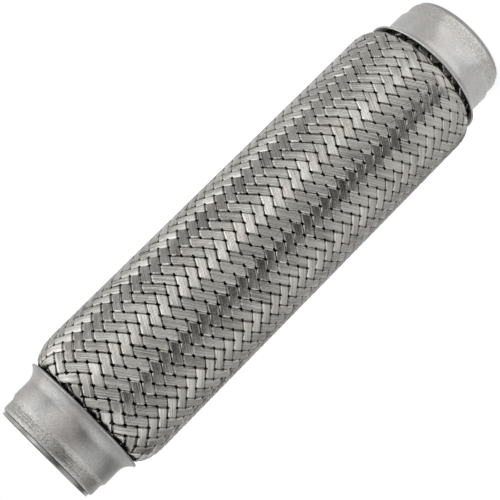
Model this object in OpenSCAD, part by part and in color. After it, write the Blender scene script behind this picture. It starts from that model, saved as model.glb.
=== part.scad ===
// Exhaust flex pipe, standing on its lower mouth: a corrugated bellows inside a woven steel
// braid, lined with an interlocked strip hose and gripped at each end by a pressed steel cap.
// Millimetres, Z along the axis, z = 0 at the lower mouth.

/* [Pipe] */
// Length from mouth to mouth
pipe_len = 280; // [220:1:400]
// Inside diameter of the smooth cuff at each mouth
bore_d = 50.5; // [45:0.5:60]
// Clearance between pieces that are pressed together
seat_gap = 0.05; // [0.02:0.01:0.1]

/* [End caps] */
// Thickness of the cap sheet
cap_sheet = 1.2; // [0.8:0.1:2]
// Length of a cap from its edge to its lip
cap_len = 23.9; // [20:0.1:40]
// Length of cuff that stands out of the cap at the mouth
cuff_proud = 1.7; // [1:0.1:6]
// Width of the rolled weld band next to the mouth
seam_len = 6.1; // [4:0.1:8]
// Thickness that is left of the sheet's edge at the mouth, where it is rolled down
mouth_edge = 0.35; // [0.2:0.05:0.6]
// Length of the rolled-down edge
mouth_roll = 1.8; // [1:0.1:3]
// Length of the taper between the weld band and the full diameter
taper_len = 2.2; // [1.5:0.1:3]
// Height of the flared lip above the cap
lip_rise = 3.85; // [2:0.05:5]
// Radius of the flare
flare_r = 7.5; // [6:0.1:9]

/* [Braid] */
// Plaits wound each way
plaits = 24; // [18:2:30]
// Length of one row of crossings along the braid
row_pitch = 5.9; // [5.5:0.1:8]
// Thickness of the woven wall
braid_wall = 1.6; // [1.3:0.05:2]
// Depth of the dimples where plaits cross
weave_depth = 0.85; // [0.5:0.05:1]
// Thickness of the braid where a cap squeezes it
sleeve_wall = 0.65; // [0.5:0.05:0.9]
// Length of plain braid between a cap and the first row
weave_lead = 2.5; // [1:0.1:4]
// Clearance between the braid and its neighbours
braid_gap = 0.1; // [0.05:0.05:0.3]
// Length of the rounded shoulder at the lower end
lower_shoulder = 10; // [8:0.5:20]
// Length of the rounded shoulder at the upper end
upper_shoulder = 15; // [8:0.5:20]
// Gap between the lower lip and the shoulder
lower_lip_gap = 1.5; // [0.2:0.1:3]
// Gap between the upper lip and the shoulder
upper_lip_gap = 0.3; // [0.2:0.1:3]

/* [Bellows] */
// Thickness of the bellows sheet
bellows_wall = 0.4; // [0.3:0.05:0.6]
// Height of a full wave from root to crest
wave_height = 6.5; // [5:0.1:8]
// Length of one wave along the axis
wave_pitch = 6.5; // [5:0.1:9]
// Length of the cone between a cuff and the first wave
wave_lead = 2; // [1.5:0.1:4]

/* [Liner] */
// Thickness of the folded strip
liner_wall = 0.85; // [0.6:0.05:1.2]
// Height of the step in the strip's section
liner_step = 0.85; // [0.6:0.05:1.2]
// Length of one turn of the strip along the axis
liner_pitch = 9; // [7.5:0.5:14]
// Width of the groove that each turn leaves on the inside
liner_groove = 3.2; // [2:0.1:4]
// Clearance between the steps of the liner and the bellows
liner_gap = 0.3; // [0.2:0.05:0.6]

/* [Hidden] */
$fn = 96;

// Steps of a drawn arc and of a rounded sheet edge
arc_steps = 10;
edge_steps = 6;
// Share of a float that is flat on top, along it and across it
float_flat_len = 0.62;
float_flat_w = 0.72;
// How quickly a shoulder fills out, lower is blunter
shoulder_power = 0.4;
// Points along a shoulder, for measuring the length of the braid
shoulder_steps = 24;
// Places along a shoulder where the braid's inside bends
inner_bends = [0, 0.1, 0.4, 1];

// Radii of the stack in a cap, from the bore outwards; the braid is a polygon, so its flats
// lie a little nearer to the axis than its corners
flat_share = cos(180 / plaits);
bore_r = bore_d / 2;
liner_r = bore_r + liner_wall;
cuff_in = liner_r + seat_gap;
cuff_r = cuff_in + bellows_wall;
seam_in = cuff_r + seat_gap;
sleeve_in = (cuff_r + braid_gap) / flat_share;
sleeve_r = sleeve_in + sleeve_wall;
cap_in = sleeve_r + braid_gap;
cap_r = cap_in + cap_sheet;

// Radii of the stack between the caps; the bellows is drawn on the middle of its sheet
root_r = liner_r + liner_step + liner_gap + bellows_wall / 2;
crest_r = root_r + wave_height;
braid_in = (crest_r + bellows_wall / 2 + braid_gap) / flat_share;
braid_r = braid_in + braid_wall;

// Heights in a cap, from its mouth
seam_z = cuff_proud + seam_len;
taper_z = seam_z + taper_len;
sleeve_z = taper_z + braid_gap;
flare_angle = acos(1 - lip_rise / flare_r);
flare_height = (flare_r + cap_sheet / 2) * sin(flare_angle) + cap_sheet / 2;
lip_z = cuff_proud + cap_len;
flare_z = lip_z - flare_height;

// Where the shoulders of the braid, the cones of the bellows and its waves start and end
lower_start = lip_z + lower_lip_gap;
upper_start = pipe_len - lip_z - upper_lip_gap;
lower_cone = lower_start + braid_wall;
upper_cone = upper_start - braid_wall;
lower_wave = lower_cone + wave_lead;
upper_wave = upper_cone - wave_lead;

function arc(centre, rx, ry, from, to, steps) =
    [for (i = [0:steps]) let (a = from + (to - from) * i / steps)
        centre + [rx * cos(a), ry * sin(a)]];

// Section of a cap: radius and height above its mouth
function cap_section() =
    let (flare_at = [cap_r + flare_r, flare_z],
         half = cap_sheet / 2,
         lip_at = flare_at + (flare_r + half) * [-cos(flare_angle), sin(flare_angle)],
         roll_at = [seam_in + mouth_edge, cuff_proud + mouth_roll])
    concat(
        [[seam_in, cuff_proud]],
        arc(roll_at, cap_sheet - mouth_edge, mouth_roll, 270, 360, edge_steps),
        [[seam_in + cap_sheet, seam_z], [cap_r, taper_z]],
        arc(flare_at, flare_r, flare_r, 180, 180 - flare_angle, arc_steps),
        arc(lip_at, half, half, -flare_angle, 180 - flare_angle, edge_steps),
        arc(flare_at, flare_r + cap_sheet, flare_r + cap_sheet, 180 - flare_angle, 180, arc_steps),
        [[cap_in, taper_z], [seam_in, seam_z]]);

module end_cap() {
    color([0.74, 0.74, 0.73]) rotate_extrude() polygon(cap_section());
}

module lower_end_cap() {
    end_cap();
}

module upper_end_cap() {
    translate([0, 0, pipe_len]) mirror([0, 0, 1]) end_cap();
}

// Outside of the braid: radius at a height, then the same line by its own length, so that the
// rows keep their spacing over the shoulders
function filled(share) = pow(1 - pow(1 - min(max(share, 0), 1), 2), shoulder_power);
function braid_out_at(z) = sleeve_r + (braid_r - sleeve_r)
    * min(filled((z - lower_start) / lower_shoulder), filled((upper_start - z) / upper_shoulder));

shoulder_shares = [for (i = [0:shoulder_steps]) pow(i / shoulder_steps, 2)];
outside_z = concat(
    [for (share = shoulder_shares) lower_start + lower_shoulder * share],
    [for (i = [shoulder_steps:-1:0]) upper_start - upper_shoulder * shoulder_shares[i]]);
outside = [for (z = outside_z) [braid_out_at(z), z]];
outside_len = [for (i = 0, s = 0; i < len(outside);
    s = s + norm(outside[min(i + 1, len(outside) - 1)] - outside[i]), i = i + 1) s];
radius_by_len = [for (i = [0:len(outside) - 1]) [outside_len[i], outside[i][0]]];
height_by_len = [for (i = [0:len(outside) - 1]) [outside_len[i], outside[i][1]]];

woven_len = outside_len[len(outside) - 1] - 2 * weave_lead;
rows = round(woven_len / row_pitch);
half_row = woven_len / rows / 2;
half_rows = 2 * rows;
half_step = 180 / plaits;

// A point of the weave: half steps round, half rows up, and depth below the floats
function on_braid(p, q, depth) =
    let (s = weave_lead + q * half_row,
         ahead = s + half_row / 4,
         behind = s - half_row / 4,
         run = [lookup(ahead, radius_by_len) - lookup(behind, radius_by_len),
                lookup(ahead, height_by_len) - lookup(behind, height_by_len)],
         dir = run / norm(run),
         r = lookup(s, radius_by_len) - depth * dir[1],
         z = lookup(s, height_by_len) + depth * dir[0],
         a = p * half_step)
    [r * cos(a), r * sin(a), z];

// Two plaits over, two under: each column of floats leans the other way to its neighbours
function lean(column) = column % 2 == 0 ? 1 : -1;
function is_whole(column, row) = lean(column) > 0 ? row < rows - 1 : row > 0;

// The four top corners of a float; a float cut by the end of the weave covers one crossing
function float_top(column, row) =
    let (tilt = lean(column),
         whole = is_whole(column, row),
         first = [2 * column, 2 * row + 1],
         middle = first + (whole ? [0.5, 0.5 * tilt] : [0, 0]),
         along = (whole ? 1 : 0.5) * [1, tilt] * float_flat_len,
         across = 0.5 * [1, -tilt] * float_flat_w)
    [for (side = [across - along, across + along, along - across, -along - across])
        on_braid(middle[0] + side[0], middle[1] + side[1], 0)];

function dimple(p, q) = q * plaits + floor((p + 2 * plaits) % (2 * plaits) / 2);
function top_corner(column, row, i) =
    (half_rows + 1) * plaits + 4 * (column * rows + row) + i;
function turned(faces, flip) = [for (f = faces) flip ? [f[2], f[1], f[0]] : f];

function float_faces(column, row) =
    let (tilt = lean(column),
         whole = is_whole(column, row),
         p = 2 * column,
         q = 2 * row + 1,
         a = top_corner(column, row, 0),
         b = top_corner(column, row, 1),
         c = top_corner(column, row, 2),
         d = top_corner(column, row, 3),
         start = dimple(p, q - tilt),
         back = dimple(p - 1, q),
         near = dimple(p + 1, q),
         far = dimple(p, q + tilt),
         tip = whole ? dimple(p + 2, q + tilt) : near,
         end = whole ? dimple(p + 1, q + 2 * tilt) : far)
    turned(concat(
        whole ? [[near, tip, b], [end, far, c]] : [],
        [[start, near, a], [near, b, a], [tip, end, b], [end, c, b], [far, d, c], [far, back, d],
         [back, start, d], [start, a, d], [a, b, c], [a, c, d]]), tilt > 0);

// Plain rings that close the weave: down the lower sleeve, up the inside, down the upper sleeve
function braid_in_at(share) = sleeve_in + (braid_in - sleeve_in) * filled(share);
inner_rings = concat(
    [[sleeve_in, sleeve_z]],
    [for (share = inner_bends) [braid_in_at(share), lower_cone + lower_shoulder * share]],
    [for (i = [len(inner_bends) - 1:-1:0]) let (share = inner_bends[i])
        [braid_in_at(share), upper_cone - upper_shoulder * share]],
    [[sleeve_in, pipe_len - sleeve_z]]);
rings = concat(
    [[sleeve_r, lower_start], [sleeve_r, sleeve_z]],
    inner_rings,
    [[sleeve_r, pipe_len - sleeve_z], [sleeve_r, upper_start]]);
first_ring = (half_rows + 1) * plaits + 4 * plaits * rows;

function ring_corner(ring, j) = first_ring + ring * plaits + j % plaits;
function ring_faces(ring) = [for (j = [0:plaits - 1]) each
    [[ring_corner(ring, j), ring_corner(ring + 1, j + 1), ring_corner(ring + 1, j)],
     [ring_corner(ring, j), ring_corner(ring, j + 1), ring_corner(ring + 1, j + 1)]]];

// The zigzag end of the weave, joined to a plain ring
function edge_faces(ring, q, inward) = turned([for (j = [0:plaits - 1]) each
    [[dimple(2 * j, q), ring_corner(ring, j + 1), ring_corner(ring, j)],
     [dimple(2 * j, q), dimple(2 * j + 1, q + inward), ring_corner(ring, j + 1)],
     [dimple(2 * j + 1, q + inward), dimple(2 * j + 2, q), ring_corner(ring, j + 1)]]], inward < 0);

module outer_braid() {
    corners = concat(
        [for (q = [0:half_rows]) for (j = [0:plaits - 1]) on_braid(2 * j + q % 2, q, weave_depth)],
        [for (column = [0:plaits - 1]) for (row = [0:rows - 1]) each float_top(column, row)],
        [for (ring = rings) for (j = [0:plaits - 1]) let (a = 2 * j * half_step)
            [ring[0] * cos(a), ring[0] * sin(a), ring[1]]]);
    faces = concat(
        [for (column = [0:plaits - 1]) for (row = [0:rows - 1]) each float_faces(column, row)],
        [for (ring = [0:len(rings) - 2]) each ring_faces(ring)],
        edge_faces(0, 0, 1),
        edge_faces(len(rings) - 1, half_rows, -1));
    color([0.65, 0.64, 0.61]) polyhedron(corners, faces);
}

// Room for a crest inside the braid, which is tighter on the shoulders
room = [for (ring = inner_rings) [ring[1], ring[0] * flat_share - braid_gap - bellows_wall / 2]];
waves = round((upper_wave - lower_wave) / wave_pitch);
bend_r = (upper_wave - lower_wave) / waves / 4;

// One side of the bellows sheet, a given distance out from its middle: radius and height
function wave_side(wave, out) =
    let (z = lower_wave + bend_r * (4 * wave + 2),
         top = min(crest_r, lookup(z - bend_r, room), lookup(z + bend_r, room)),
         tall = min(bend_r, (top - root_r) / 2))
    concat(
        arc([root_r + tall, z - 2 * bend_r], out - tall, bend_r - out, 0, 90, edge_steps / 2),
        arc([top - tall, z], tall + out, bend_r + out, -90, 90, edge_steps),
        arc([root_r + tall, z + 2 * bend_r], out - tall, bend_r - out, -90, 0, edge_steps / 2));

function sheet_side(out) =
    let (cuff = cuff_in + bellows_wall / 2 + out)
    concat(
        [[cuff, 0], [cuff, lower_cone]],
        [for (wave = [0:waves - 1]) each wave_side(wave, out)],
        [[cuff, upper_cone], [cuff, pipe_len]]);

function reversed(list) = [for (i = [len(list) - 1:-1:0]) list[i]];

module bellows() {
    color([0.58, 0.58, 0.57]) rotate_extrude()
        polygon(concat(sheet_side(bellows_wall / 2), reversed(sheet_side(-bellows_wall / 2))));
}

// Turns of the liner between its smooth cuffs, and the shift that keeps the strip's thickness
// round a bend of 45 degrees
turns = floor((upper_wave - lower_wave) / liner_pitch);
turn_len = (upper_wave - lower_wave) / turns;
bend_shift = liner_wall * tan(22.5);

function liner_side(r, widen) = concat(
    [[r, 0]],
    [for (turn = [0:turns - 1])
        let (z = lower_wave + turn_len * (turn + 0.5), half = liner_groove / 2 + widen)
        each [[r, z - half - liner_step], [r + liner_step, z - half],
              [r + liner_step, z + half], [r, z + half + liner_step]]],
    [[r, pipe_len]]);

module interlock_liner() {
    color([0.5, 0.5, 0.49]) rotate_extrude()
        polygon(concat(liner_side(liner_r, bend_shift), reversed(liner_side(bore_r, 0))));
}

lower_end_cap();
upper_end_cap();
outer_braid();
bellows();
interlock_liner();
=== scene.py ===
import math

import bpy
import numpy as np
from mathutils import Matrix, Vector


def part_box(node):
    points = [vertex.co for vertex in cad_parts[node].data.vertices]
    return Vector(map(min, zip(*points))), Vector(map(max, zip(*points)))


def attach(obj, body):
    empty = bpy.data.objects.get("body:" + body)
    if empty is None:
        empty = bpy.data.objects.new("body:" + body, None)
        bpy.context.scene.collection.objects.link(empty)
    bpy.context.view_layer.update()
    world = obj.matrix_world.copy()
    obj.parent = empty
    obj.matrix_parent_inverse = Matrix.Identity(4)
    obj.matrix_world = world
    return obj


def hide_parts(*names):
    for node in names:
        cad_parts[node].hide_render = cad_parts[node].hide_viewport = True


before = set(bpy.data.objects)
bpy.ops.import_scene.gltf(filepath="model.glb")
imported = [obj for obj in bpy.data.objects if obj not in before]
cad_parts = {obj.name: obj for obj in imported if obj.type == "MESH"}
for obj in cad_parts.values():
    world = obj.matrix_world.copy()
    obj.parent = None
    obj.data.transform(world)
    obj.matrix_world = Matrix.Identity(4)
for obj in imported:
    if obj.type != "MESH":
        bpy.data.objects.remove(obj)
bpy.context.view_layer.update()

# Interlock liner: a hose wound from one stainless strip whose folded edges hook into each other,
# so that narrow grooves climb its inside in a helix. Its ends are pressed into smooth cuffs,
# which take the exhaust pipe.
mm = 0.001
pipe_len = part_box("interlock_liner")[1].z
bore_r = 25.25 * mm
liner_wall = 0.85 * mm
liner_step = 0.85 * mm
liner_slope = math.radians(45)
liner_groove = 3.2 * mm
liner_turn = 9.0 * mm
liner_cuff = 32.0 * mm
liner_tuck = 0.06 * mm
liner_sides = 128
liner_crease = math.radians(30)
liner_grey = (0.3, 0.297, 0.287)
liner_rough = 0.4
# Patches on steel have a scale and a detail, and most of their noise lies in noise_range.
sheet_patches = (150.0, 4.0)
sheet_rough_spread = 0.08
patch_dark = 0.8
patch_light = 1.2
noise_rough = 0.6
noise_range = (0.3, 0.7)


def ring_faces(rings, sides, closed):
    """Four-cornered faces between rings of points; the row of rings is closed or open."""
    here = np.arange(rings if closed else rings - 1)[:, None]
    ahead = (here + 1) % rings
    corner = np.arange(sides)[None, :]
    beside = (corner + 1) % sides
    return np.stack([here * sides + corner, here * sides + beside,
                     ahead * sides + beside, ahead * sides + corner], -1).reshape(-1, 4)


def outward(points, faces):
    """The shell with its faces turned outwards."""
    volume = 0
    for corner in range(1, faces.shape[1] - 1):
        a, b, c = (points[faces[:, k]] for k in (0, corner, corner + 1))
        volume += np.einsum("ij,ij->", a, np.cross(b, c))
    return points, faces if volume > 0 else faces[:, ::-1]


def lathe(section, sides):
    """A closed section of radius and height, turned round the axis."""
    turn = np.linspace(0, 2 * math.pi, sides, endpoint=False)[:, None]
    height = np.broadcast_to(section[:, 1], (sides, len(section)))
    points = np.stack([section[:, 0] * np.cos(turn), section[:, 0] * np.sin(turn), height], -1)
    return outward(points.reshape(-1, 3), ring_faces(sides, len(section), True))


def ribbon(rings):
    """Rings of points joined into a long shell, drawn shut to a point inside each end ring."""
    count, sides = rings.shape[:2]
    ends = np.repeat(rings[[0, -1]].mean(1, keepdims=True), sides, 1)
    points = np.concatenate([ends[:1], rings, ends[1:]]).reshape(-1, 3)
    return outward(points, ring_faces(count + 2, sides, False))


def make_piece(name, shells, finish, node):
    """One mesh object from closed shells, in place of a CAD node, which gets the same material."""
    starts = np.cumsum([0] + [len(points) for points, _ in shells])
    points = np.concatenate([points for points, _ in shells])
    faces = np.concatenate([faces + start for (_, faces), start in zip(shells, starts)])
    mesh = bpy.data.meshes.new(name)
    mesh.from_pydata(points.tolist(), [], faces.tolist())
    mesh.shade_smooth()
    mesh.materials.append(finish)
    piece = bpy.data.objects.new(name, mesh)
    bpy.context.scene.collection.objects.link(piece)
    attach(piece, "root")
    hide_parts(node)
    coat(node, finish)
    return piece


def coat(node, finish):
    """Gives a CAD node its material."""
    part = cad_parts[node]
    part.data.materials.clear()
    part.data.materials.append(finish)


def add_node(tree, kind, inputs=(), **settings):
    """A shader node with its settings, and with values or links on its inputs."""
    node = tree.nodes.new(kind)
    for key, value in settings.items():
        setattr(node, key, value)
    for key, value in dict(inputs).items():
        if isinstance(value, bpy.types.NodeSocket):
            tree.links.new(value, node.inputs[key])
        else:
            node.inputs[key].default_value = value
    return node


def add_math(tree, operation, first, second=0.0):
    return add_node(tree, "ShaderNodeMath", {0: first, 1: second}, operation=operation).outputs[0]


def add_range(tree, value, low, high, to_low, to_high):
    ends = {"Value": value, "From Min": low, "From Max": high, "To Min": to_low, "To Max": to_high}
    return add_node(tree, "ShaderNodeMapRange", ends).outputs["Result"]


def add_noise(tree, place, scale, detail):
    look = {"Vector": place, "Scale": scale, "Detail": detail, "Roughness": noise_rough}
    return add_node(tree, "ShaderNodeTexNoise", look).outputs["Fac"]


def add_mix(tree, factor, first, second):
    colours = {"Factor": factor, "A": first, "B": second}
    return add_node(tree, "ShaderNodeMix", colours, data_type="RGBA").outputs["Result"]


def new_metal(name):
    """A metal with nodes: its tree, its shader and its place on the object."""
    finish = bpy.data.materials.new(name)
    finish.use_nodes = True
    tree = finish.node_tree
    shader = tree.nodes["Principled BSDF"]
    shader.inputs["Metallic"].default_value = 1.0
    return finish, tree, shader, add_node(tree, "ShaderNodeTexCoord").outputs["Object"]


def scaled(grey, times):
    return (*(times * part for part in grey), 1)


def satin_steel(name, grey, roughness):
    """Formed stainless sheet: one grey in soft patches, with uneven roughness."""
    finish, tree, shader, place = new_metal(name)
    patch = add_noise(tree, place, *sheet_patches)
    colour = add_mix(tree, patch, scaled(grey, patch_dark), scaled(grey, patch_light))
    tree.links.new(colour, shader.inputs["Base Color"])
    uneven_rough = add_range(tree, patch, *noise_range,
                             roughness - sheet_rough_spread, roughness + sheet_rough_spread)
    tree.links.new(uneven_rough, shader.inputs["Roughness"])
    return finish


def cuff_section(low, high):
    """Section of a smooth cuff: radius and height."""
    outer_r = bore_r + liner_wall
    return np.array([[bore_r, low], [outer_r, low], [outer_r, high], [bore_r, high]])


def wound_strip(low, high):
    """The wound strip as one wall: lands and grooves that climb one turn in each round."""
    turns = round((high - low) / liner_turn)
    middles = low + liner_turn * (np.arange(turns) + 0.5)
    half = liner_groove / 2
    step_z = np.array([-half - liner_step, -half, half, half + liner_step])
    step_r = np.array([0, liner_step, liner_step, 0])
    shift = liner_wall * math.tan(liner_slope / 2) * np.array([-1, -1, 1, 1])
    inner, outer = bore_r + liner_tuck, bore_r + liner_wall - liner_tuck
    inside = np.stack([np.tile(inner + step_r, turns), (middles[:, None] + step_z).ravel()], -1)
    outside = np.stack([np.tile(outer + step_r, turns),
                        (middles[:, None] + step_z + shift).ravel()], -1)
    section = np.concatenate([inside, outside[::-1]])
    share = np.linspace(0, 1, liner_sides + 1)[:, None]
    turn = 2 * math.pi * share
    return ribbon(np.stack([section[:, 0] * np.cos(turn), section[:, 0] * np.sin(turn),
                            section[:, 1] + liner_turn * (share - 0.5)], -1))


liner = make_piece("interlock_liner_strip",
                   [lathe(cuff_section(0, liner_cuff), liner_sides),
                    lathe(cuff_section(pipe_len - liner_cuff, pipe_len), liner_sides),
                    wound_strip(liner_cuff - liner_turn, pipe_len - liner_cuff + liner_turn)],
                   satin_steel("liner_steel", liner_grey, liner_rough),
                   "interlock_liner")
liner.data.set_sharp_from_angle(angle=liner_crease)

# Bellows: a thin stainless tube rolled into deep waves, gas-tight under the braid. Its plain
# cuffs lie on the liner's cuffs and stand out of the caps as a thin ring at each mouth, darkened
# with painted shade where the ring runs under the cap's rolled mouth. Its mesh is the CAD solid.
bellows_grey = (0.3, 0.299, 0.294)
bellows_rough = 0.32
joint_shade = (0.05, 0.049, 0.047)
cap_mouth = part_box("lower_end_cap")[0].z
joint_shade_start = 0.7 * cap_mouth
joint_shade_full = 0.95 * cap_mouth


def mouth_distance(tree, place):
    """The distance along the axis from the nearer mouth of the pipe."""
    height = add_node(tree, "ShaderNodeSeparateXYZ", {"Vector": place}).outputs["Z"]
    from_middle = add_math(tree, "ABSOLUTE", add_math(tree, "SUBTRACT", height, pipe_len / 2))
    return add_math(tree, "SUBTRACT", pipe_len / 2, from_middle)


bellows_steel = satin_steel("bellows_steel", bellows_grey, bellows_rough)
bellows_tree = bellows_steel.node_tree
bellows_place = add_node(bellows_tree, "ShaderNodeTexCoord").outputs["Object"]
bellows_colour = bellows_tree.nodes["Principled BSDF"].inputs["Base Color"]
unshaded_colour = bellows_colour.links[0].from_socket
# Painted shade: the ring is darkened as it nears the cap's rolled mouth, which shades it.
at_joint = add_range(bellows_tree, mouth_distance(bellows_tree, bellows_place),
                     joint_shade_start, joint_shade_full, 0.0, 1.0)
shaded_colour = add_mix(bellows_tree, at_joint, unshaded_colour, (*joint_shade, 1))
bellows_tree.links.new(shaded_colour, bellows_colour)
coat("bellows", bellows_steel)

# Outer braid: flat plaits of drawn stainless wire, wound in two hands and woven two over, two
# under round the bellows. Its ends are squeezed between the bellows cuffs and the caps, and
# welded there.
plaits = 24
braid_pieces = 3
braid_seed = 24
wires = 9
columns = 2 * wires + 3
wire_r = 0.25 * mm
wire_spread = 0.2
# Heights across a plait, in wire radii: the crests are at 1.
wire_groove = 0.4
outer_edge = -0.4
underside = -1.4
outer_crest = 0.3
underside_reach = 0.93
plait_pinch = 0.34
plait_crown = 0.42 * mm
crown_power = 5
# Along a plait, lengths are counted in half rows, with a gap at the middle of each.
gap_middle = 0.5
gap_half = np.array([0.06, 0.13])
gap_rings = gap_middle + np.array([-1, -1, 1, 1]) * gap_half[[1, 0, 0, 1]]
weave_lift = 0.32 * mm
weave_flat = 5.0
row_len = 5.885 * mm
row_drift = 0.045
gap_height = 145.9 * mm
sleeve_mid_r = 27.1 * mm
lower_lip_gap = 1.5 * mm
upper_lip_gap = 0.3 * mm
lower_shoulder = 10.0 * mm
upper_shoulder = 15.0 * mm
shoulder_power = 0.4
shoulder_bend = 1.2 * mm
shoulder_points = 200
bend_passes = 2
wall_points = 6000
braid_slack = 0.06 * mm
braid_slant = 1.8 * mm
braid_slant_turn = math.radians(-85.3)
braid_twist_z = np.array([30, 50, 75, 95, 115, 135, 155, 175, 195, 215, 235, 250]) * mm
braid_twist = np.radians([0.6, -0.4, -1.9, -2.2, -1.8, -1.4, -0.7, 0.3, 1.0, 0.9, 0.2, 0])
# Unevenness along a plait: its size, and its spacing in half rows.
uneven_width = (0.05, 2.5)
uneven_path = (0.02, 2.8)
uneven_bulge = (0.03 * mm, 2.3)
uneven_wire = (0.025 * mm, 3.5)
uneven_tone = (0.25, 2.0)
# A tone is 0 for the painted shade deep in the weave and 1 for the lightest wire.
mean_tone = 0.65
wire_tone = 0.25
dark_tone = 0.35
shade_dull_tone = 0.15
wire_shade = (0.04, 0.04, 0.04)
wire_dark = (0.28, 0.273, 0.252)
wire_light = (0.46, 0.45, 0.423)
wire_warm = (0.37, 0.335, 0.305)
warm_patches = (110.0, 2.0)
warm_range = (0.5, 0.78)
warm_most = 0.6
wear_patches = (700.0, 3.0)
wire_rough = (0.18, 0.28)
# Each hand: its way round, its name, the width of a plait, and the painted shade on its edges (one
# amount for each side) and where it dives.
hands = ((1, "right", 4.88 * mm, (0.6, 0.5), 0.8),
         (-1, "left", 4.72 * mm, (0.3, 0.65), 0.65))
braid_low, braid_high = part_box("outer_braid")
braid_mid_r = braid_high.x - braid_slack - wire_r - weave_lift
lower_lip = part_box("lower_end_cap")[1].z
upper_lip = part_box("upper_end_cap")[0].z
half_step = math.pi / plaits
rng = np.random.default_rng(braid_seed)


def filled(share):
    """How far the braid has filled out, by the share of its shoulder's length."""
    return (1 - (1 - np.clip(share, 0, 1)) ** 2) ** shoulder_power


def braid_line():
    """The middle of the braid's wall: radius and height, evenly spaced and softly bent."""
    low, high = lower_lip + lower_lip_gap, upper_lip - upper_lip_gap
    ease = np.linspace(0, 1, shoulder_points) ** 2
    height = np.concatenate([[braid_low.z], low + lower_shoulder * ease,
                             (high - upper_shoulder * ease)[::-1], [braid_high.z]])
    radius = sleeve_mid_r + (braid_mid_r - sleeve_mid_r) * np.minimum(
        filled((height - low) / lower_shoulder), filled((high - height) / upper_shoulder))
    length = np.concatenate([[0], np.cumsum(np.hypot(np.diff(radius), np.diff(height)))])
    even = np.linspace(0, length[-1], wall_points)
    line = np.stack([np.interp(even, length, radius), np.interp(even, length, height)], -1)
    window = int(shoulder_bend / (even[1] - even[0])) | 1
    line = np.pad(line, ((window, window), (0, 0)), mode="reflect", reflect_type="odd")
    mean = np.ones(window) / window
    for _ in range(bend_passes):
        line = np.stack([np.convolve(line[:, k], mean, "same") for k in range(2)], -1)
    return line[window:-window]


wall = braid_line()
wall_step = np.gradient(wall, axis=0)
step_len = np.hypot(wall_step[:, 0], wall_step[:, 1])
wall_out = np.stack([wall_step[:, 1], -wall_step[:, 0]], -1) / step_len[:, None]
crossing_len = math.hypot(row_len / 2, braid_mid_r * half_step)
half_row = np.sqrt(crossing_len ** 2 - (wall[:, 0] * half_step) ** 2)
half_row *= 1 + row_drift * (wall[:, 1] - gap_height) / (pipe_len / 2)
wall_row = np.cumsum(step_len / half_row)
wall_row += 1 - np.interp(gap_height, wall[:, 1], wall_row)
plait_spacing = 2 * half_row * wall[:, 0] * half_step / crossing_len
first_row, last_row = wall_row[[0, -1]]
ring_row = np.arange(math.floor(first_row), math.ceil(last_row))[:, None] + gap_rings
ring_row = ring_row[(ring_row >= first_row) & (ring_row <= last_row)]
from_gap = np.abs(ring_row - np.floor(ring_row) - gap_middle)
at_gap = np.interp(from_gap, gap_half, [1, 0])
at_bend = np.isclose(from_gap, gap_half[1])
wire_top = np.array([outer_edge, 1] + (wires - 1) * [wire_groove, 1]
                    + [outer_edge, underside, underside])
wire_of = np.minimum(np.arange(columns) // 2, wires - 1)


def on_braid(across, up, lift):
    """Points of the weave, by half steps round, half rows up and height above the wall's middle."""
    slant = braid_slant * np.sin(across * half_step - braid_slant_turn)
    up = up + slant / np.interp(up, wall_row, half_row)
    radius, height = (np.interp(up, wall_row, wall[:, k]) for k in range(2))
    out_r, out_z = (np.interp(up, wall_row, wall_out[:, k]) for k in range(2))
    turn = across * half_step + np.interp(height, braid_twist_z, braid_twist)
    radius = radius + lift * out_r
    return np.stack([radius * np.cos(turn), radius * np.sin(turn), height + lift * out_z], -1)


def uneven(size, spacing):
    """Smooth random values along a plait, up to the given size each way."""
    at = (ring_row - ring_row[0]) / spacing
    knots = rng.uniform(-1, 1, int(at[-1]) + 4)
    first = at.astype(int)
    part = at - first
    part = part * part * (3 - 2 * part)
    return size * (knots[first] * (1 - part) + knots[first + 1] * part)


def plait_shell(number, hand, plait_w, edge_shade, dive_shade):
    """One plait: a ribbon of wires side by side that rises over two plaits and dives under two."""
    place = hand * ring_row + 2 * number + 1
    over = np.clip(weave_flat * np.cos((place - gap_middle) * math.pi / 2), -1, 1)
    over = hand * over * (1.5 - 0.5 * over ** 2)
    width = plait_w * (1 + uneven(*uneven_width))
    half = 0.5 * width / np.interp(ring_row, wall_row, plait_spacing)
    sway = uneven(*uneven_path)
    bulge = uneven(*uneven_bulge)
    edges = np.concatenate([[0], np.cumsum(1 + wire_spread * rng.uniform(-1, 1, wires))])
    edges = 2 * edges / edges[-1] - 1
    side = np.zeros(columns)
    side[0:-2:2] = edges
    side[1:-3:2] = (edges[1:] + edges[:-1]) / 2
    side[[1, -4]] = (1 - outer_crest) * edges[[0, -1]] + outer_crest * edges[[1, -2]]
    side[-2:] = underside_reach, -underside_reach
    wire_lift = np.stack([uneven(*uneven_wire) for _ in range(wires)], -1)[:, wire_of]
    reach = 1 - plait_pinch * at_gap[:, None]
    across = half[:, None] * np.clip(side, -reach, reach) + sway[:, None]
    crown = plait_crown * np.abs(side) ** crown_power
    lift = (weave_lift * over + bulge)[:, None] + wire_r * wire_top - crown
    lift = np.minimum(lift + wire_lift * (wire_top > 0), weave_lift + wire_r)
    rings = on_braid(place[:, None] + across, ring_row[:, None] - hand * across, lift)
    tone = mean_tone + uneven(*uneven_tone)[:, None]
    tone = tone + wire_tone * rng.uniform(-1, 1, wires)[wire_of]
    # Painted shade: darker where the plait dives under the others, and on its edges and underside, more
    # on one side than the other.
    tone = tone - dive_shade * np.clip(1 - over, 0, 1)[:, None]
    tone = tone - np.where(wire_top > 0, 0, np.where(side < 0, *edge_shade))
    return ribbon(rings), np.concatenate([tone[:1], tone, tone[-1:]]).ravel()


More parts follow.
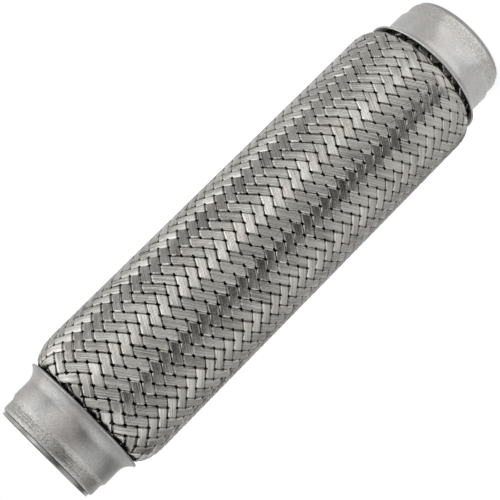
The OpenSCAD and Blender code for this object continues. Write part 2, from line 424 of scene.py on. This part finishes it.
def wire_steel(name):
    """Drawn stainless wire: each wire and float lighter, darker or warmer, and painted shade in the
    depth.
    """
    finish, tree, shader, place = new_metal(name)
    tone = add_node(tree, "ShaderNodeAttribute", attribute_name="tone").outputs["Fac"]
    ramp = add_node(tree, "ShaderNodeValToRGB", {"Fac": tone})
    stops = ramp.color_ramp.elements
    stops[0].color = (*wire_shade, 1)
    stops[1].color = (*wire_light, 1)
    stops.new(dark_tone).color = (*wire_dark, 1)
    warm = add_range(tree, add_noise(tree, place, *warm_patches), *warm_range, 0.0, warm_most)
    colour = add_mix(tree, warm, ramp.outputs["Color"], (*wire_warm, 1))
    tree.links.new(colour, shader.inputs["Base Color"])
    # Where the painted shade is deepest the wire is no longer metal, so that it stays dark.
    metal_share = add_range(tree, tone, 0.0, shade_dull_tone, 0.0, 1.0)
    tree.links.new(metal_share, shader.inputs["Metallic"])
    shader.inputs["Specular IOR Level"].default_value = 0.0
    wear = add_range(tree, add_noise(tree, place, *wear_patches), *noise_range, *wire_rough)
    tree.links.new(wear, shader.inputs["Roughness"])
    return finish


braid_wire = wire_steel("braid_wire")
for hand, hand_name, *plait_look in hands:
    bent_ring = at_bend & (np.floor(ring_row) % 2 == (hand < 0))
    bent_ring = np.concatenate([[False], bent_ring, [False]])
    for group in range(braid_pieces):
        numbers = range(group, plaits, braid_pieces)
        shells, tones = zip(*(plait_shell(number, hand, *plait_look) for number in numbers))
        mesh = make_piece(f"braid_{hand_name}_hand_{group + 1}", shells,
                          braid_wire, "outer_braid").data
        mesh.attributes.new("tone", "FLOAT", "POINT").data.foreach_set("value", np.concatenate(tones))
        ends = np.zeros(2 * len(mesh.edges), int)
        mesh.edges.foreach_get("vertices", ends)
        ring, column = np.divmod(ends.reshape(-1, 2), columns)
        groove = (column[:, 0] == column[:, 1]) & (column[:, 0] % 2 == 0)
        bend = (ring[:, 0] == ring[:, 1]) & bent_ring[ring[:, 0] % len(bent_ring)]
        mesh.attributes.new("sharp_edge", "BOOLEAN", "EDGE").data.foreach_set("value", groove | bend)

# End caps: pressed from stainless sheet, slid over the braid's ends and rolled down with a seam
# weld, which leaves a rough band at the mouth. The other end is flared to a lip over the braid.
cap_sides = 288
cap_crease = math.radians(40)
cap_sheet = 1.2 * mm
cap_r = 28.83 * mm
seam_r = 27.8 * mm
seam_z = 7.8 * mm
taper_z = 10.0 * mm
taper_points = 5
mouth_edge = 0.35 * mm
mouth_roll = 1.8 * mm
mouth_steps = 10
flare_r = 7.5 * mm
flare_steps = 16
lip_rise = 3.85 * mm
lip_steps = 8
roll_lines = np.array([4.4, 5.6, 6.7]) * mm
roll_line_w = 0.25 * mm
roll_line_depth = 0.06 * mm
cap_patches = (75.0, 5.0)
cap_rough_spread = 0.06
cap_stain = (0.43, 0.385, 0.365)
stain_patches = (48.0, 3.0)
stain_range = (0.5, 0.72)
stain_most = 0.8
band_grime = (0.2, 0.198, 0.19)
band_specks = (0.62, 0.6, 0.54)
band_grain = (1300.0, 3.0)
speck_range = (0.4, 0.66)
# The share of grime and the strength of the grain, each on the plain sheet and in the weld band.
grime_share = (0.2, 0.5)
grain_strength = (0.12, 0.82)
grain_depth = 0.12 * mm
# Each cap: its end of the pipe, its grey and its roughness.
caps = (("lower", (0.415, 0.415, 0.412), 0.36),
        ("upper", (0.3, 0.3, 0.298), 0.47))


def arc(centre, across, along, start, end, steps):
    """Points on part of an ellipse, from one angle to another."""
    turn = np.radians(np.linspace(start, end, steps + 1))
    return np.stack([centre[0] + across * np.cos(turn), centre[1] + along * np.sin(turn)], -1)


def cap_section():
    """Section of a cap: radius and height above its mouth, out along the outside and back inside."""
    mouth_z, lip_z = (corner.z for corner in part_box("lower_end_cap"))
    edge = cap_sheet / 2
    inner_r = seam_r - cap_sheet
    sweep = math.acos(1 - lip_rise / flare_r)
    sweep_end = 180 - math.degrees(sweep)
    middle_r = flare_r + edge
    back_r = flare_r + cap_sheet
    flare = np.array([cap_r + flare_r, lip_z - edge - middle_r * math.sin(sweep)])
    lip = flare + middle_r * np.array([-math.cos(sweep), math.sin(sweep)])
    mouth = (inner_r + mouth_edge, mouth_z + mouth_roll)
    lines = [[seam_r - depth, z + shift] for z in roll_lines
             for shift, depth in ((-roll_line_w, 0), (0, roll_line_depth), (roll_line_w, 0))]
    return np.concatenate([
        [[inner_r, mouth_z]],
        arc(mouth, cap_sheet - mouth_edge, mouth_roll, 270, 360, mouth_steps),
        lines,
        np.linspace((seam_r, seam_z), (cap_r, taper_z), taper_points),
        arc(flare, flare_r, flare_r, 180, sweep_end, flare_steps),
        arc(lip, edge, edge, sweep_end - 180, sweep_end, lip_steps)[1:-1],
        arc(flare, back_r, back_r, sweep_end, 180, flare_steps),
        [[cap_r - cap_sheet, taper_z], [inner_r, seam_z]]])


def cap_steel(name, grey, roughness):
    """Pressed sheet: soft patches and stains, and a grimy grain in the weld band."""
    finish, tree, shader, place = new_metal(name)
    band = add_range(tree, mouth_distance(tree, place), seam_z, taper_z, 1.0, 0.0)
    patch = add_range(tree, add_noise(tree, place, *cap_patches), *noise_range, 0.0, 1.0)
    colour = add_mix(tree, patch, scaled(grey, patch_dark), scaled(grey, patch_light))
    stain = add_range(tree, add_noise(tree, place, *stain_patches), *stain_range, 0.0, stain_most)
    colour = add_mix(tree, stain, colour, (*cap_stain, 1))
    grain = add_noise(tree, place, *band_grain)
    speck = add_range(tree, grain, *speck_range, 0.0, 1.0)
    grime = add_mix(tree, speck, (*band_grime, 1), (*band_specks, 1))
    colour = add_mix(tree, add_range(tree, band, 0.0, 1.0, *grime_share), colour, grime)
    tree.links.new(colour, shader.inputs["Base Color"])
    uneven_rough = add_range(tree, patch, 0.0, 1.0,
                             roughness - cap_rough_spread, roughness + cap_rough_spread)
    tree.links.new(uneven_rough, shader.inputs["Roughness"])
    strength = add_range(tree, band, 0.0, 1.0, *grain_strength)
    bump = add_node(tree, "ShaderNodeBump",
                    {"Strength": strength, "Distance": grain_depth, "Height": grain})
    tree.links.new(bump.outputs["Normal"], shader.inputs["Normal"])
    return finish


for end_name, cap_grey, cap_rough in caps:
    cap_outline = cap_section()
    if end_name == "upper":
        cap_outline[:, 1] = pipe_len - cap_outline[:, 1]
    cap = make_piece(f"{end_name}_cap_pressing", [lathe(cap_outline, cap_sides)],
                     cap_steel(f"{end_name}_cap_steel", cap_grey, cap_rough),
                     f"{end_name}_end_cap")
    cap.data.set_sharp_from_angle(angle=cap_crease)

# Camera: looks at the pipe from a little above, rolled so that the upper mouth points to the
# lower left of the picture.
picture_px = 500
focal_px = 1422.7
sensor_mm = 36
camera_near = 0.02
camera_far = 50
camera_turn = math.radians(-85.3)
camera_rise = math.radians(12.146)
camera_dist = 669.3 * mm
aim_z = 146.03 * mm
aim_aside = -0.235 * mm
toward = np.array([math.cos(camera_turn), math.sin(camera_turn), 0])
aside = np.array([-math.sin(camera_turn), math.cos(camera_turn), 0])
upright = np.array([0, 0, 1])
back = math.cos(camera_rise) * toward + math.sin(camera_rise) * upright
lean = math.cos(camera_rise) * upright - math.sin(camera_rise) * toward
camera_right = -(lean + aside) / math.sqrt(2)
camera_up = (aside - lean) / math.sqrt(2)


def put(obj, place, right, up, backwards):
    """Puts an object somewhere, with its own three axes along the given ones."""
    placed = np.eye(4)
    placed[:3] = np.stack([right, up, backwards, place], -1)
    obj.matrix_world = Matrix(placed.tolist())


camera_data = bpy.data.cameras.new("camera")
camera_data.sensor_width = sensor_mm
camera_data.lens = sensor_mm * focal_px / picture_px
camera_data.clip_start = camera_near
camera_data.clip_end = camera_far
camera = bpy.data.objects.new("camera", camera_data)
bpy.context.scene.collection.objects.link(camera)
put(camera, aim_z * upright + aim_aside * aside + camera_dist * back, camera_right, camera_up, back)
bpy.context.scene.camera = camera

# Floor: a plain white sheet that the pipe stands on. It is matt and takes the pipe's soft shadow,
# with a glow of its own that keeps it white, and the steel mirrors it as plain white.
floor_reach = 6.0
floor_grey = 0.8
floor_glow = 0.55


def flat_sheet(name, corners):
    """A flat sheet that isn't part of the pipe, by its four corners, and its node tree."""
    mesh = bpy.data.meshes.new(name)
    mesh.from_pydata(corners, [], [(0, 1, 2, 3)])
    sheet = bpy.data.objects.new(name, mesh)
    bpy.context.scene.collection.objects.link(sheet)
    paint = bpy.data.materials.new(name)
    paint.use_nodes = True
    paint.node_tree.nodes.remove(paint.node_tree.nodes["Principled BSDF"])
    mesh.materials.append(paint)
    return sheet, paint.node_tree


def show(tree, surface):
    """Joins a surface to the output of a material or a world."""
    output = "World Output" if "World Output" in tree.nodes else "Material Output"
    tree.links.new(surface.outputs[0], tree.nodes[output].inputs["Surface"])


def glow(tree, strength):
    return add_node(tree, "ShaderNodeEmission", {"Color": (1, 1, 1, 1), "Strength": strength})


floor_corners = [(floor_reach * x, floor_reach * y, 0) for x, y in ((-1, -1), (1, -1), (1, 1), (-1, 1))]
floor_tree = flat_sheet("floor", floor_corners)[1]
floor_matt = add_node(floor_tree, "ShaderNodeBsdfDiffuse", {"Color": scaled((1, 1, 1), floor_grey)})
floor_lit = add_node(floor_tree, "ShaderNodeAddShader",
                     {0: floor_matt.outputs[0], 1: glow(floor_tree, floor_glow).outputs[0]})
floor_ray = add_node(floor_tree, "ShaderNodeLightPath").outputs
mirrored = add_math(floor_tree, "MAXIMUM", floor_ray["Is Glossy Ray"], floor_ray["Is Transmission Ray"])
show(floor_tree, add_node(floor_tree, "ShaderNodeMixShader",
                          {0: mirrored, 1: floor_lit.outputs[0], 2: glow(floor_tree, 1.0).outputs[0]}))

# Light: a white tent all round and four soft lamps. Seven cards that only the steel mirrors give
# it the dark streak and the grey of its sides, and light the lower cap from the floor.
tent_glow = 0.6
# Places are given by degrees round the pipe from the camera, distance from the axis and height.
# Each card: its name, its grey and its four corners.
cards = (
    ("dark_floor", 0.05, (52, 0.14, 0.002), (16, 0.14, 0.002), (9, 5.0, 0.002), (44, 5.0, 0.002)),
    ("dark_board", 0.05, (44, 2.0, 0.0), (12, 2.0, 0.0), (-18, 2.0, 1.65), (12, 2.0, 1.65)),
    ("left_floor", 0.42, (-46, 0.14, 0.001), (-100, 0.14, 0.001), (-100, 5.0, 0.001), (-46, 5.0, 0.001)),
    ("right_floor", 0.5, (138, 0.09, 0.001), (100, 0.09, 0.001), (104, 0.3, 0.001), (130, 0.3, 0.001)),
    ("side_board", 0.5, (105, 0.3, 0.0), (128, 0.3, 0.0), (128, 0.4, 0.4), (105, 0.4, 0.4)),
    ("cap_board", 0.2, (128, 0.3, 0.2), (88, 0.3, 0.2), (88, 0.3, 0.34), (128, 0.3, 0.34)),
    ("cap_floor", 1.5, (-34, 0.031, 0.002), (40, 0.031, 0.002), (24, 0.135, 0.002), (-20, 0.135, 0.002)))
# Each lamp: its name, its place, its width and height, its roll in degrees and its power.
lamps = (
    ("front_lamp", (-42, 1.45, 0.5), 1.0, 0.4, 45, 2.6),
    ("left_lamp", (-92, 0.755, 0.8), 0.8, 0.8, 0, 3.0),
    ("low_lamp", (-84, 1.2, 0.45), 0.5, 0.35, 0, 0.9),
    ("right_lamp", (55, 0.75, 0.81), 0.8, 0.8, 0, 1.7))
tent = bpy.data.worlds.new("tent")
bpy.context.scene.world = tent
tent.use_nodes = True
tent_tree = tent.node_tree
tent_light = tent_tree.nodes["Background"]
tent_light.inputs["Color"].default_value = (1, 1, 1, 1)
tent_light.inputs["Strength"].default_value = tent_glow
tent_white = add_node(tent_tree, "ShaderNodeBackground", {"Color": (1, 1, 1, 1), "Strength": 1.0})
tent_ray = add_node(tent_tree, "ShaderNodeLightPath").outputs
seen = add_math(tent_tree, "MAXIMUM", tent_ray["Is Camera Ray"], tent_ray["Is Glossy Ray"])
seen = add_math(tent_tree, "MAXIMUM", seen, tent_ray["Is Transmission Ray"])
show(tent_tree, add_node(tent_tree, "ShaderNodeMixShader",
                         {0: seen, 1: tent_light.outputs[0], 2: tent_white.outputs[0]}))


def beside_pipe(turn_deg, distance, height):
    turn = camera_turn - math.radians(turn_deg)
    return np.array([distance * math.cos(turn), distance * math.sin(turn), height])


def card(name, grey, corners):
    """A card that only the steel mirrors."""
    sheet, tree = flat_sheet(name, [beside_pipe(*corner).tolist() for corner in corners])
    show(tree, glow(tree, grey))
    sheet.visible_camera = False
    sheet.visible_diffuse = False
    sheet.visible_shadow = False


def soft_lamp(name, place, width, tall, roll_deg, power):
    """A soft box that faces the pipe's middle, rolled about the line to it."""
    lamp_data = bpy.data.lights.new(name, "AREA")
    lamp_data.shape = "RECTANGLE"
    lamp_data.size = width
    lamp_data.size_y = tall
    lamp_data.energy = power
    lamp = bpy.data.objects.new(name, lamp_data)
    bpy.context.scene.collection.objects.link(lamp)
    away = place - aim_z * upright
    away /= np.linalg.norm(away)
    level = np.cross(upright, away)
    level /= np.linalg.norm(level)
    rise = np.cross(away, level)
    cos, sin = math.cos(math.radians(roll_deg)), math.sin(math.radians(roll_deg))
    put(lamp, place, cos * level + sin * rise, cos * rise - sin * level, away)


for card_name, card_grey, *card_corners in cards:
    card(card_name, card_grey, card_corners)
for lamp_name, lamp_place, *lamp_look in lamps:
    soft_lamp(lamp_name, beside_pipe(*lamp_place), *lamp_look)

bpy.context.scene.view_settings.view_transform = "Standard"
